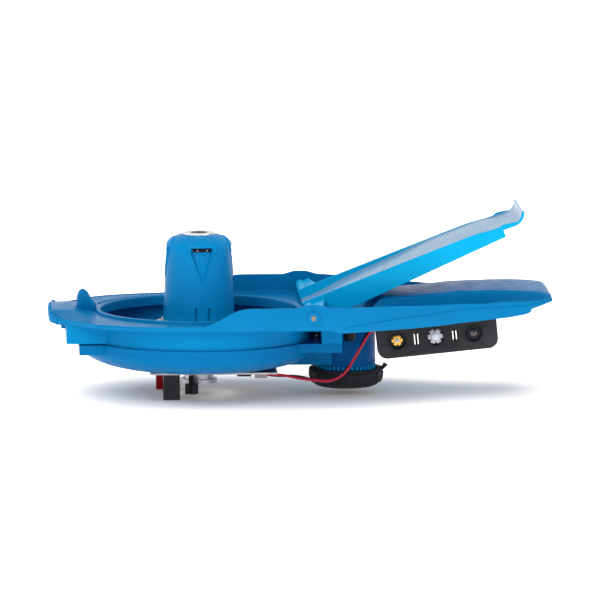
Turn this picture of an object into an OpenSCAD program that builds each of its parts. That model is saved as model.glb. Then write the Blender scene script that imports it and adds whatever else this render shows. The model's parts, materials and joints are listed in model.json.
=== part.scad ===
// Deck and motor unit of a battery pool cleaner.
// Every module is drawn in deck coordinates: the tower axis is X = 0, Y = 0 and the rim of the
// basin is Z = 0. placed() then moves it so that the origin is under the middle of the unit.

/* [Deck] */
// Distance from the tower axis to the tip of the nose
nose_reach = 185; // [180:1:190]
// Distance from the tower axis to the tip of the tail
tail_reach = 428; // [422:1:434]
// Radius of the basin opening in the deck
basin_r = 121; // [118:1:124]
// Thickness of the deck moulding
deck_t = 3; // [2.5:0.5:3.5]
// Half width of the raised plateau on the tail
plateau_half = 52; // [48:1:53]

/* [Tub] */
// Outer radius of the upper tub wall
tub_r = 142; // [140:1:144]
// Depth of the bowl's underside below the rim
bowl_depth = 67.5; // [66:0.5:68]
// Wall thickness of both tubs
tub_t = 3; // [2.5:0.5:3]

/* [Tower] */
// Radius of the tower at its foot
tower_r = 44; // [43:0.5:44]
// Radius of the tower at its shoulder
shoulder_r = 40; // [39:0.5:41]
// Height of the tower's top above the rim
tower_top = 95; // [93:1:97]
// Width of each scoop's mouth
scoop_w = 28; // [24:1:30]

/* [Lid] */
// Angle of the lid above level at rest
lid_angle = 21.3; // [20:0.1:30]
// Half width of the lid
lid_half = 58.5; // [57:0.5:60]

/* [Battery] */
// Distance from the tower axis to the battery neck's axis
neck_x = 177; // [176:1:178]
// Outer radius of the battery neck
neck_r = 36; // [35:0.5:36.5]
// Outer radius of the cap
cap_r = 45; // [44:0.5:46]

/* [Light bar] */
// Length of the light bar
bar_len = 148; // [140:1:150]
// Height of the light bar
bar_h = 40; // [36:1:40]
// Tilt of the light bar
bar_tilt = 5.6; // [4:0.1:6]

/* [Hidden] */
$fn = 96;

tower_x = (nose_reach - tail_reach) / 2;   // tower axis seen from the middle of the unit
feet_z = -103;                             // underside of the two terminal blocks
plate_top = -bowl_depth;
plate_t = 2;
web_half = 33;                             // half width of the web from the bowl to the neck
web_bottom = -64;
bowl_hole = 65;                            // radius of the outlet in the bowl's floor
plate_bottom = plate_top - plate_t;
hinge_x = 132;
hinge_z = 11;
hinge_reach = 149;                         // half length of the lid's pivot tube
pin_r = 3.5;                               // radius of the pins that carry the lid
tube_r = 6;                                // outer radius of the lid's pivot tubes
run_gap = 0.06;                            // radial clearance of a running fit
rim_w = 6;                                  // width of the basin's rim ring
arm_t = 3.5;                               // thickness of the side walls
arm_half = 160;                            // half width over the side walls
shaft_r = 4;
cap_bottom = -94;
cap_top = -75;
deck_blue = [0.01, 0.56, 0.82];
tower_blue = [0.01, 0.44, 0.72];
lid_blue = [0.05, 0.63, 0.86];
black = [0.13, 0.13, 0.15];
steel = [0.62, 0.62, 0.64];
gold = [0.85, 0.65, 0.25];

// Half width of the deck along X
deck_half = [[-185, 62], [-178, 72], [-170, 79], [-151, 98], [-128, 127], [-104, 141],
    [-80, 150], [-51, 156], [-20, 159.5], [0, 160], [150, 160], [185, 150], [230, 129],
    [277, 109], [300, 97], [319, 88], [337, 87], [355, 90], [374, 95], [390, 96],
    [408, 89], [428, 74]];
// Height of the side walls' top along X
wall_top = [[-185, 1], [0, 1.5], [6, 3], [48, 22], [60, 23], [110, 23], [118, 25], [126, 27],
    [138, 27], [146, 25], [154, 23], [190, 22], [277, 18.5], [337, 17], [374, 20.5],
    [396, 20.5], [428, 21]];
// Height of the side walls' lower edge along X
wall_foot = [[-185, -5], [230, -5], [257, -8], [300, -7], [394, 4.8], [402, 9], [428, 19.5]];
// Height of the deck floor between the centre and the walls along X
floor_z = [[-185, -2], [-150, -1.5], [-120, 0], [150, 0], [165, -5], [250, -5], [300, -2],
    [360, 6], [400, 14], [428, 21.5]];
// Height of the centre along X: the nose spine, the plain deck and the tail plateau
centre_z = [[-185, 7], [-155, 7.5], [-148, 5.5], [-140, 1.6], [-128, 0.5], [-110, 0.2], [150, 0.2],
    [165, -4.8], [203, -4.8],
    [212, 12], [222, 20.5], [247, 22], [283, 25], [314, 28], [370, 29], [385, 29],
    [418, 27], [428, 23.5]];
// Half width of the raised centre along X
centre_half = [[-185, 40], [-130, 43], [-110, 44], [150, 44], [200, plateau_half],
    [428, plateau_half + 6]];
// Half width at the foot of the raised centre along X
centre_foot = [[-185, 56], [-170, 68], [-130, 80], [-110, 60], [150, 60], [200, plateau_half + 2],
    [340, plateau_half + 3], [400, plateau_half + 12], [428, plateau_half + 16]];
crown = 0.3;                               // rise of the deck's middle line over its flanks
deck_stations = concat([for (x = [-185, -182, -178]) x], [for (x = [-170:10:-130]) x],
    [-128, -125, -122, -116, -110], [for (x = [-100:12:44]) x], [48, 60, 85, 110, 114, 118, 122,
    126, 132, 138, 142, 146, 150, 154, 158, 162, 166, 176, 186, 196, 203, 208, 212, 217],
    [for (x = [222:12:394]) x], [398, 402, 408, 414, 420, 428]);

// Points of the two leads between the connector and the light bar, X, Y, Z
lead_route = [[80, -53, -73], [87, -53, -73.4], [98, -53, -74], [109, -53, -75], [122, -53, -77],
    [134, -53, -79.4], [144, -53, -81.2], [153, -53, -81.8], [160, -53, -80.4], [167, -53, -77],
    [174, -53, -72], [180, -53, -65.5], [185, -53, -58.5], [190, -53, -51], [194, -53, -43],
    [198, -53, -35], [202, -53, -27], [207, -53, -21], [213, -53, -18.8]];
lead_r = 1.6;
lead_gap = 1.75;                           // half of the distance between the two leads

module placed() { translate([tower_x, 0, -feet_z]) children(); }

// A ring of revolution about Z between two radii and two heights
module ring(r_in, r_out, z_low, z_high) {
    rotate_extrude() translate([r_in, z_low]) square([r_out - r_in, z_high - z_low]);
}

// A many-sided prism whose flats touch a circle of radius r
module many_sided(r, h, sides) {
    linear_extrude(h) polygon([for (k = [0:sides - 1])
        r / cos(180 / sides) * [cos((k + 0.5) * 360 / sides), sin((k + 0.5) * 360 / sides)]]);
}

// A bar along Y
module rod_y(r, y_low, y_high) {
    translate([0, y_low, 0]) rotate([-90, 0, 0]) cylinder(r = r, h = y_high - y_low);
}

// Skins a row of closed sections that all have the same number of points
module loft(sections) {
    n = len(sections[0]);
    last = len(sections) - 1;
    sides = [for (i = [0:last - 1]) for (j = [0:n - 1])
        [i * n + j, i * n + (j + 1) % n, (i + 1) * n + (j + 1) % n, (i + 1) * n + j]];
    ends = [[for (j = [n - 1:-1:0]) j], [for (j = [0:n - 1]) last * n + j]];
    polyhedron(points = [for (s = sections) each s], faces = concat(sides, ends), convexity = 8);
}

// One ring of points round a route, square to it
function unit(v) = v / norm(v);
function route_way(p, i) = unit(p[min(i + 1, len(p) - 1)] - p[max(i - 1, 0)]);
function route_ring(p, i, r, sides, up) = let (way = route_way(p, i), a = unit(cross(way, up)),
    b = cross(a, way)) [for (k = [0:sides - 1]) p[i] + r * (cos(k * 360 / sides) * a
    + sin(k * 360 / sides) * b)];
module tube(p, r, sides, up) {
    loft([for (i = [0:len(p) - 1]) route_ring(p, i, r, sides, up)]);
}

// Half of the deck's section, from the centre of its top round to the centre of its underside
function deck_section(x) = let (w = lookup(x, deck_half), zt = lookup(x, wall_top),
    zf = lookup(x, floor_z), zc = lookup(x, centre_z), hc = lookup(x, centre_half),
    hf = min(lookup(x, centre_foot), w - arm_t - 2), zb = lookup(x, wall_foot),
    h = min(hc, hf - 1.5), zw = max(zt, zf + 0.8), zl = min(zb, zf - deck_t - 0.5),
    edge = zc + (zf - zc) * 0.12)
    [[0, zc + crown], [h - 4, zc], [h, edge], [hf, zf], [w - arm_t, zf], [w - arm_t + 0.4, zw - 0.6],
    [w - arm_t + 1, zw], [w - 0.8, zw], [w, zw - 0.8], [w, zl], [w - arm_t, zl],
    [w - arm_t - 0.5, zf - deck_t], [hf, zf - deck_t], [h - 2, edge - deck_t], [h - 5, zc - deck_t],
    [0, zc - deck_t + crown]];
function mirrored(s) = concat(s, [for (i = [len(s) - 2:-1:1]) [-s[i][0], s[i][1]]]);

module deck_shell() placed() color(deck_blue) {
    difference() {
        loft([for (x = deck_stations) [for (p = mirrored(deck_section(x))) [x, p[0], p[1]]]]);
        translate([0, 0, -20]) many_sided(basin_r + rim_w, 60, 96);
        for (side = [0, 180]) translate([hinge_x, 0, hinge_z]) rotate([90, 0, side])
            translate([0, 0, arm_half - 10]) many_sided(6.2, 20, 24);
        for (x = [250, 344]) translate([x, 0, 0]) many_sided(2.6, 60, 12);
    }
}

// Rounded rim ring that edges the basin
module basin_rim() placed() color(deck_blue) {
    half = rim_w / 2;
    rotate_extrude() polygon(concat([[basin_r + rim_w, -deck_t], [basin_r, -deck_t]],
        [for (a = [180:-15:0]) [basin_r + half + half * cos(a), half * sin(a)]]));
}

// Row of rounded ribs along the front edge of the nose
module nose_comb() placed() color(deck_blue) {
    for (y = [-54:9:54]) translate([-nose_reach + 0.5 + abs(y) * 0.07, y, -7]) cylinder(r = 3, h = 11);
    difference() {
        translate([-nose_reach + 3, -57, -8.5]) cube([9, 114, 3]);
        for (y = [-42:42:42]) translate([-nose_reach + 8, y, -10]) cylinder(r = 1.6, h = 6);
    }
}

module nose_hook() placed() color(deck_blue) {
    translate([0, 8, 0]) rotate([90, 0, 0]) linear_extrude(16) polygon([[-149, 7.6], [-149.5, 16],
        [-147.5, 22], [-142.5, 27.5], [-138, 24.5], [-134, 18.5], [-130, 12], [-127, 5.5],
        [-128.5, 1.5], [-132, 1], [-137, 3.2], [-141, 7.6]]);
}

// One pan-head screw with its top at Z = 0, pointing down
module screw(head_r, shank_r, length) {
    difference() {
        translate([0, 0, -head_r * 0.7]) cylinder(r = head_r, h = head_r * 0.7);
        translate([0, 0, -head_r * 0.4]) cylinder(r = head_r * 0.55, h = head_r, $fn = 6);
    }
    translate([0, 0, -length]) cylinder(r = shank_r, h = length - head_r * 0.7);
}

module deck_screws() placed() color(steel) {
    for (p = [[250, 20.6], [344, 26.4]]) translate([p[0], 0, p[1]]) screw(2.4, 1.4, 9);
}

// Hollow moulded block under the deck, open below
module block(x_low, x_high, half, z_low, z_high, wall = 3) {
    difference() {
        translate([x_low, -half, z_low]) cube([x_high - x_low, 2 * half, z_high - z_low]);
        translate([x_low + wall, -half + wall, z_low - 1])
            cube([x_high - x_low - 2 * wall, 2 * (half - wall), z_high - z_low - wall + 1]);
    }
}

module neck_clearance() translate([neck_x, 0, -90]) cylinder(r = neck_r + 0.4, h = 110);

module upper_tub() placed() color(deck_blue) {
    difference() {
        union() {
            translate([0, 0, -31]) cylinder(r = tub_r, h = 27.8);
            translate([-164, -85, -29]) cube([60, 170, 24]);
            translate([-169.5, -40, -16]) cube([8, 80, 8]);
        }
        translate([0, 0, -40]) cylinder(r = tub_r - tub_t, h = 60);
        neck_clearance();
        difference() {
            translate([-161, -82, -32]) cube([60, 164, 24]);
            translate([0, 0, -40]) cylinder(r = tub_r, h = 60);
        }
    }
    difference() {
        block(146, 171, 85, -30.8, -8.3);
        neck_clearance();
    }
}

module bowl_profile(offset_in) {
    a = 76 - offset_in;
    b = bowl_depth - 40 - offset_in;
    polygon(concat([[bowl_hole, -40]], [[70 + a, -40]],
        [for (t = [6:6:84]) [70 + a * cos(t), -40 - b * sin(t)]],
        [[70, -40 - b], [bowl_hole, -40 - b]]));
}

module lower_tub() placed() color(deck_blue) {
    difference() {
        union() {
            rotate_extrude() bowl_profile(0);
            translate([0, 0, -40]) cylinder(r = 146.5, h = 9);
            translate([-148.5, -85, -43]) cube([60, 170, 12]);
            translate([90, -85, -42]) cube([81, 170, 11]);
            translate([100, -web_half, web_bottom]) cube([75, 2 * web_half, 30]);
        }
        translate([0, 0, -40.01]) cylinder(r = tub_r - tub_t, h = 20);
        rotate_extrude() bowl_profile(tub_t);
        translate([0, 0, -90]) cylinder(r = bowl_hole, h = 70);
        difference() {
            translate([100, 3 - web_half, web_bottom + 3])
                cube([80, 2 * web_half - 6, -45 - web_bottom]);
            rotate_extrude() bowl_profile(0);
        }
        difference() {
            union() {
                translate([-145.5, -82, -44]) cube([60, 164, 10]);
                translate([90, -82, -43]) cube([78, 164, 9]);
            }
            translate([0, 0, -60]) cylinder(r = 146.5, h = 60);
        }
        neck_clearance();
        four_sides() translate([130, 0, -35]) rotate([0, 90, 0]) cylinder(r = 1.9, h = 14);
    }
}

// Screws that clamp the two tubs, heads down, spaced round the flange
module tub_screws() placed() color(steel) {
    for (a = [35:55:325]) rotate([0, 0, a]) translate([142.8, 0, -42.4]) rotate([180, 0, 0])
        screw(2.2, 1.2, 2.3);
}

scoop_turn = 4;                            // the scoops sit a little off the deck's axes
// Places its children on each of the four sides of the tower, with X pointing outwards
module four_sides() { for (k = [0:3]) rotate([0, 0, scoop_turn + 90 * k]) children(); }

// Sheet-metal hub that carries the motor and the tower
module spider_hub() placed() color(steel) {
    ring(shaft_r + 9, tower_r + 2.6, -34, -32);
    ring(tower_r + 0.6, tower_r + 2.6, -32, -10);
}

// Sloping legs from the hub to the flange between the tubs
module spider_legs() placed() color(steel) {
    four_sides() difference() {
        translate([tower_r + 2.7, -8, 0]) rotate([-90, 0, 0]) linear_extrude(16)
            polygon([[0, 11], [0, 24], [2, 24], [2, 14], [89.6, 40.6], [92, 40.8], [92, 31.2],
                [89.8, 31.2], [89.8, 38], [2, 11.4]]);
        translate([130, 0, -35]) rotate([0, 90, 0]) cylinder(r = 1.9, h = 14);
    }
}

module spider_screws() placed() color(steel) {
    four_sides() translate([tub_r - tub_t - 2.4 - 2.1, 0, -35]) rotate([0, -90, 0]) screw(3, 1.8, 7);
}

// Outer wall of the tower as radius and height, from the foot to the ring's seat
mouth_z = 74.5;                            // lower edge of the scoops' mouths
module tower_outline(inset) {
    dome_h = 17;
    dome = [for (t = [0:8:80]) [16 + (shoulder_r - 16 - inset) * cos(t),
        tower_top - dome_h + (dome_h - inset * 0.9) * sin(t)]];
    polygon(concat([[0, -31.9]], [[tower_r - inset, -31.9]], [[tower_r - inset, -5]],
        dome, [[0, tower_top - inset * 0.9]]));
}

module tower_cover() placed() color(tower_blue) {
    wall = 3.6;
    difference() {
        rotate_extrude() tower_outline(0);
        difference() {
            rotate_extrude() tower_outline(wall);
            translate([0, 0, tower_top - 12]) cylinder(r = 23, h = 20);
        }
        translate([0, 0, -33]) cylinder(r = tower_r - wall, h = 4);
        translate([0, 0, tower_top - 13]) cylinder(r = 12.5, h = 20);
        translate([0, 0, tower_top - 3]) cylinder(r = 20.3, h = 10);
        four_sides() {
            translate([30, -scoop_w / 2, mouth_z]) cube([20, scoop_w, 6.5]);
            translate([shoulder_r - 2, 0, 0]) rotate([90, 0, 90]) linear_extrude(10)
                polygon([[-scoop_w / 2, mouth_z + 0.1], [-1.5, mouth_z - 33], [1.5, mouth_z - 33],
                    [scoop_w / 2, mouth_z + 0.1]]);
            for (y = [-7.5, 7.5]) translate([30, y - 1.35, -17]) cube([20, 2.7, 24]);
        }
    }
}

module tower_ring() placed() color(steel) {
    ring(10.6, 20, tower_top - 2.9, tower_top + 1.2);
    ring(10.6, 12.3, tower_top - 16, tower_top - 2.9);
}

module button_cup() placed() color(black) {
    difference() {
        translate([0, 0, tower_top - 27]) cylinder(r = 12.3, h = 10.9);
        translate([0, 0, tower_top - 25]) cylinder(r = 10.6, h = 12);
    }
}

module power_button() placed() color(black) {
    translate([0, 0, tower_top - 8.5]) cylinder(r = 10.2, h = 6.5);
    translate([0, 0, tower_top - 14]) cylinder(r = 3.5, h = 5.5);
}

spring_turns = 4;
module button_spring() placed() color(steel) {
    low = tower_top - 24.3;
    high = tower_top - 9.4;
    steps = spring_turns * 12;
    tube([for (i = [0:steps]) [6 * cos(i * 30), 6 * sin(i * 30), low + (high - low) * i / steps]],
        0.6, 6, [0, 0, 1]);
}

// Dark strainer band behind the four scoops
module scoop_mesh() placed() color(black) {
    ring(33.4, 34.6, 68, 83);
    four_sides() for (y = [-9, 6]) translate([34.4, y, mouth_z + 3]) rotate([0, 90, 0])
        cylinder(r = 1.1, h = 1.6);
}

module motor_can() placed() color(steel) {
    difference() {
        translate([0, 0, -31.9]) cylinder(r = 29, h = 90);
        translate([0, 0, -28]) cylinder(r = 26.5, h = 82);
        translate([0, 0, -35]) cylinder(r = shaft_r + run_gap, h = 10);
        translate([0, 0, 50]) cylinder(r = shaft_r + run_gap, h = 5.5);
    }
}

module motor_magnets() placed() color(black) {
    for (a = [0, 180]) rotate([0, 0, a]) difference() {
        ring(22.5, 26.4, -20, 44);
        translate([-40, -40, -30]) cube([80, 48, 90]);
    }
}

module motor_rotor() placed() color(gold) {
    difference() {
        union() {
            translate([0, 0, -16]) cylinder(r = 17, h = 56);
            for (k = [0:5]) rotate([0, 0, k * 60]) translate([0, -5, -16]) cube([21.5, 10, 56]);
        }
        translate([0, 0, -20]) cylinder(r = shaft_r, h = 70);
    }
}

module motor_shaft() placed() color(steel) {
    translate([0, 0, -76.5]) cylinder(r = shaft_r, h = 130);
}

module impeller() placed() color(black) {
    difference() {
        union() {
            translate([0, 0, -63]) cylinder(r = 13, h = 21);
            for (k = [0:4]) rotate([0, 0, k * 72]) intersection() {
                translate([6, 0, -52]) rotate([28, 0, 0]) translate([0, -14, -1.4])
                    cube([60, 28, 2.8]);
                translate([0, 0, -63]) cylinder(r = 54, h = 25);
            }
        }
        translate([0, 0, -70]) cylinder(r = shaft_r, h = 40);
    }
}

module shaft_seal() placed() color(black) { ring(shaft_r + 0.4, 8.5, -37.5, -34.1); }

// Bearing housing under the plate that steadies the lower end of the shaft
module bearing_housing() placed() color(steel) {
    difference() {
        union() {
            translate([0, 0, plate_bottom - 19]) cylinder(r = 18, h = 19);
            translate([0, 0, plate_bottom - 19]) cylinder(r = 22.5, h = 4.5);
            translate([0, 0, plate_bottom]) cylinder(r = 10, h = plate_t + 2.5);
        }
        translate([0, 0, -77.1]) cylinder(r = shaft_r + run_gap, h = 20);
        for (a = [0:60:300]) rotate([0, 0, a]) translate([16, 0, plate_bottom - 20])
            cylinder(r = 1.8, h = 4);
    }
}

module base_plate() placed() color(steel) {
    difference() {
        translate([-62, -74, plate_bottom]) cube([155, 148, plate_t]);
        translate([0, 0, -80]) cylinder(r = 10.2, h = 20);
        for (a = [30:60:330]) rotate([0, 0, a]) translate([39, 0, -80]) cylinder(r = 12, h = 20);
        for (x = [-56, 87]) for (y = [-30, 30]) translate([x, y, -80]) cylinder(r = 2.25, h = 20);
        for (p = [black_at, red_at]) translate([p[0], p[1], -80]) cylinder(r = 2.6, h = 20);
    }
}

module plate_screws() placed() color(steel) {
    for (y = [-58, 58]) for (x = [-20, 20]) translate([x, y, plate_bottom - 1.75])
        rotate([180, 0, 0]) screw(2.5, 1.2, 1.75);
}

// Five-lobed clamping nut beside the bearing housing
module star_nut() placed() color(black) {
    translate([-11, -38, 0]) {
        translate([0, 0, -98]) cylinder(r = 6.2, h = 12);
        for (a = [0:72:288]) rotate([0, 0, a]) translate([6, 0, -98]) cylinder(r = 2.6, h = 12);
        translate([0, 0, -86]) cylinder(r = 3.2, h = plate_bottom + 86);
    }
}

// Terminal block; it also serves as a foot
module terminal(x, y) translate([x, y, 0]) {
    difference() {
        translate([-10, -10, feet_z]) cube([20, 20, plate_bottom - feet_z]);
        translate([-10.5, -4, -92]) cube([9, 8, 12]);
        translate([0, 0, plate_bottom - 8]) cylinder(r = 2.1, h = 10);
    }
}
black_at = [-35.5, -45];
red_at = [-41.5, 45];
module black_terminal() placed() color(black) { terminal(black_at[0], black_at[1]); }
module red_terminal() placed() color([0.8, 0.12, 0.1]) { terminal(red_at[0], red_at[1]); }
module terminal_screws() placed() color(steel) {
    for (p = [black_at, red_at]) translate([p[0], p[1], plate_top + 2.3]) screw(3.2, 2, 9.5);
}

module foot_block() placed() color(black) {
    translate([0, -42, 0]) rotate([90, 0, 0]) linear_extrude(14) polygon([[42, plate_bottom],
        [64, plate_bottom], [61, plate_bottom - 5], [45, plate_bottom - 5]]);
}

module wire_connector() placed() color(steel) {
    difference() {
        translate([66, -60, plate_bottom - 6.5]) cube([15, 14, 6.5]);
        for (dy = [-lead_gap, lead_gap]) translate([70, -53 + dy, -73]) rotate([0, 90, 0])
            cylinder(r = lead_r + 0.3, h = 20);
    }
    translate([83, -44, plate_bottom - 4]) cylinder(r = 4, h = 4);
}

module battery_neck() placed() color(tower_blue) translate([neck_x, 0, 0]) {
    difference() {
        translate([0, 0, -79]) cylinder(r = neck_r, h = 70.5);
        translate([0, 0, -80]) cylinder(r = neck_r - 3, h = 67);
    }
    for (a = [20:40:340]) rotate([0, 0, a]) translate([neck_r - 0.5, -1, -70]) cube([1.8, 2, 6]);
}

module battery_cells() placed() color([0.25, 0.5, 0.35]) translate([neck_x, 0, 0]) {
    for (a = [0, 120, 240]) rotate([0, 0, a]) translate([14, 0, -66]) {
        cylinder(r = 9.2, h = 50);
        translate([0, 0, 50]) cylinder(r = 3, h = 1.5);
    }
}

module neck_seal() placed() color(black) translate([neck_x, 0, -77.5]) {
    ring(neck_r + 0.05, neck_r + 3.6, 0, 2.4);
}

// Flat ring that keeps the cap on the neck, with the lobe of its strap
module tether_ring() placed() color(black) translate([neck_x, 0, 0]) difference() {
    union() {
        ring(neck_r + 2.2, cap_r + 0.5, cap_top + 0.5, cap_top + 3.3);
        translate([cap_r + 1, 0, cap_top + 0.5]) cylinder(r = 4.5, h = 6.5);
    }
    translate([cap_r + 1, 0, cap_top - 1]) cylinder(r = 1.8, h = 12);
}

cap_ribs = 16;
module battery_cap() placed() color(black) translate([neck_x, 0, 0]) {
    difference() {
        translate([0, 0, cap_bottom]) cylinder(r = cap_r, h = cap_top - cap_bottom);
        translate([0, 0, cap_bottom + 3.5]) cylinder(r = neck_r + 4.2, h = 30);
        translate([-24, -2.5, cap_bottom - 1]) cube([48, 5, 3]);
    }
    for (k = [0:cap_ribs - 1]) rotate([0, 0, k * 360 / cap_ribs])
        translate([cap_r - 0.2, 0, cap_bottom + 3]) cylinder(r = 1.6, h = cap_top - cap_bottom - 4);
}

module cable_gland() placed() color(black) translate([182, -50, 0]) {
    translate([0, 0, -32]) cylinder(r = 6.5, h = 14);
    translate([0, 0, -18]) cylinder(r = 8.5, h = 9.8, $fn = 6);
}

// Moves a child from the light bar's own frame, X along it and Z down from its top edge
module on_bar() translate([213, -60, -14.8]) rotate([0, -bar_tilt, 0]) children();
led_pitch = 47;
led_first = 25;
led_z = -19.3;
board_seat = 5;
module bar_plate(depth) {
    corner = 12;
    translate([0, depth, 0]) rotate([90, 0, 0]) linear_extrude(depth) union() {
        translate([0, corner - bar_h]) square([bar_len, bar_h - corner]);
        translate([corner, -bar_h]) square([bar_len - 2 * corner, corner + 1]);
        for (x = [corner, bar_len - corner]) translate([x, corner - bar_h]) circle(r = corner);
    }
}
// A disc facing the front of the bar
module bar_disc(x, depth, r, h) translate([x, depth + h, led_z]) rotate([90, 0, 0])
    cylinder(r = r, h = h);

module light_bar() placed() color(black) on_bar() {
    difference() {
        bar_plate(14);
        for (k = [0:2]) bar_disc(led_first + k * led_pitch, -1, 10.4, board_seat + 1);
        for (k = [0.5, 1.5]) translate([led_first + k * led_pitch - 3.6, -1, led_z - 7.5])
            cube([7.2, 4, 15]);
        translate([5, 11, 4 - bar_h]) cube([bar_len - 10, 6, bar_h - 8]);
    }
    for (x = [20, 128]) translate([x, 4, -1]) cube([10, 7, x < 60 ? 7 : 5.5]);
}

module bar_screws() placed() color(steel) on_bar() for (x = [9, 139])
    translate([x, 15.6, -8]) rotate([-90, 0, 0]) screw(2.2, 1, 4);

// Star-shaped LED board with six notches
module star_board(x, r) difference() {
    bar_disc(x, board_seat - 1.6, r, 1.6);
    for (a = [0:60:300]) translate([x, 0, led_z]) rotate([0, a, 0]) translate([r, 0, 0])
        rotate([-90, 0, 0]) cylinder(r = r * 0.17, h = 8);
}
module gold_led_board() placed() color(gold) on_bar() star_board(led_first, 6.9);
module silver_led_board() placed() color(steel) on_bar() star_board(led_first + led_pitch, 9.8);
module dark_led_board() placed() color(black) on_bar() star_board(led_first + 2 * led_pitch, 8);
module led_chips() placed() color([0.95, 0.95, 0.9]) on_bar()
    for (k = [0:2]) bar_disc(led_first + k * led_pitch, board_seat - 3.4, k == 1 ? 4.6 : 3.2, 1.8);
module bar_strips() placed() color(steel) on_bar() for (k = [0.5, 1.5]) for (dx = [-2.1, 2.1])
    translate([led_first + k * led_pitch + dx - 1.2, 0.4, led_z - 7]) cube([2.4, 2.6, 14]);

module lead(dy) translate([0, dy, 0]) tube(lead_route, lead_r, 8, [0, 1, 0]);
module red_wire() placed() color([0.75, 0.1, 0.15]) lead(-lead_gap);
module black_wire() placed() color(black) lead(lead_gap);

// The lid in its own frame: X along it from the pivot line, Z square to it
lid_front = -6;
lip_start = 270;                           // where the finger lip begins to curl
lip_r = 16.5;
lip_end = lip_start + lip_r * 84 * PI / 180;
lid_floor = [[-6, -5], [0, -5.4], [60, 0], [120, 3], [180, 7.2], [225, 6.5], [255, 3],
    [270, 2.5], [310, 2]];
lid_rim = [[-6, 7], [-2, 8], [180, 8], [215, 8], [252, 5], [256, 6.5], [266, 5.5], [280, 2]];
lid_skirt = [[-6, -7.6], [10, -8.3], [48, -20.4], [254.8, -8.8], [255, 9]];
lid_crown = [[-6, 0.3], [120, 0.3], [180, 0.8], [225, 2.4], [255, 1], [270, 0.3]];
lid_w = [[-6, 0], [254.8, 0], [258, 2.5], [290, 2], [299, -1], [305, -5], [310, -12]];
function lid_section(s) = let (f = lookup(s, lid_floor), r = max(lookup(s, lid_rim), f + 0.4),
    b = min(lookup(s, lid_skirt), f - 2.9), c = lookup(s, lid_crown), w = lid_half + lookup(s, lid_w))
    [[0, f + c], [w * 0.5, f + c * 0.75], [w - 3, f], [w - 2.6, r - 0.1], [w - 0.6, r], [w, r - 0.6],
    [w, b], [w - 2.4, b], [w - 2.4, f - 2.4], [w * 0.5, f + c * 0.75 - 2.4], [0, f + c - 2.4]];
// Bends a section's point round the lip's curl
function lid_point(s, y, z) = let (a = (s - lip_start) / lip_r * 180 / PI - 90)
    s <= lip_start ? [s, y, z]
    : [lip_start + (lip_r - z) * cos(a), y, lip_r + (lip_r - z) * sin(a)];
lid_stations = concat([lid_front, -4, -2, 4, 10, 20, 34, 48, 60, 80, 100, 120, 140, 160, 180, 195,
    210, 225, 240, 252, 254.8, 255, 258, 264], [for (s = [lip_start:3:lip_end]) s], [lip_end]);
module on_lid() translate([hinge_x, 0, hinge_z]) rotate([0, -lid_angle, 0]) children();

module tail_lid() placed() color(lid_blue) on_lid() {
    loft([for (s = lid_stations) [for (p = mirrored(lid_section(s))) lid_point(s, p[0], p[1])]]);
}

// Flat wings from the lid's sides out to its pivots
module lid_wings() placed() color(lid_blue) on_lid() for (side = [0, 1]) mirror([0, side, 0])
    difference() {
        translate([0, 0, -1.5]) linear_extrude(4.5)
            polygon([[0, lid_half], [21, lid_half], [12, 153.5], [0, 153.5]]);
        rod_y(tube_r, lid_half - 1, 156);
    }

module lid_tubes() placed() color(lid_blue) translate([hinge_x, 0, hinge_z])
    for (side = [0, 180]) rotate([0, 0, side]) difference() {
        rod_y(tube_r, lid_half, hinge_reach);
        rod_y(pin_r + run_gap, 128, hinge_reach + 5);
    }

module pivot_bushes() placed() color(deck_blue) translate([hinge_x, 0, hinge_z])
    for (side = [0, 180]) rotate([0, 0, side]) difference() {
        union() {
            rod_y(7.5, arm_half, arm_half + 2.4);
            rod_y(6.2, arm_half - arm_t - 0.5, arm_half);
            rod_y(pin_r, 132, arm_half - arm_t - 0.5);
        }
        rod_y(1.6, 120, arm_half + 10);
        rod_y(3.3, arm_half + 1.2, arm_half + 10);
    }

module pivot_screws() placed() color(steel) translate([hinge_x, 0, hinge_z])
    for (side = [0, 180]) rotate([0, 0, side]) difference() {
        union() {
            rod_y(3.1, arm_half + 1.2, arm_half + 3);
            rod_y(1.6, 140, arm_half + 1.2);
        }
        translate([0, arm_half + 2, 0]) rotate([-90, 0, 0]) cylinder(r = 1.6, h = 4, $fn = 6);
    }

deck_shell();
basin_rim();
nose_comb();
nose_hook();
deck_screws();
upper_tub();
lower_tub();
tub_screws();
spider_hub();
spider_legs();
spider_screws();
tower_cover();
tower_ring();
button_cup();
power_button();
button_spring();
scoop_mesh();
motor_can();
motor_magnets();
motor_rotor();
motor_shaft();
impeller();
shaft_seal();
bearing_housing();
base_plate();
plate_screws();
star_nut();
black_terminal();
red_terminal();
terminal_screws();
foot_block();
wire_connector();
battery_neck();
battery_cells();
neck_seal();
tether_ring();
battery_cap();
cable_gland();
light_bar();
bar_screws();
gold_led_board();
silver_led_board();
dark_led_board();
led_chips();
bar_strips();
red_wire();
black_wire();
tail_lid();
lid_wings();
lid_tubes();
pivot_bushes();
pivot_screws();
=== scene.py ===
"""Looks of the pool cleaner's deck and motor unit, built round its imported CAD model."""
import json
import math

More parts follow.
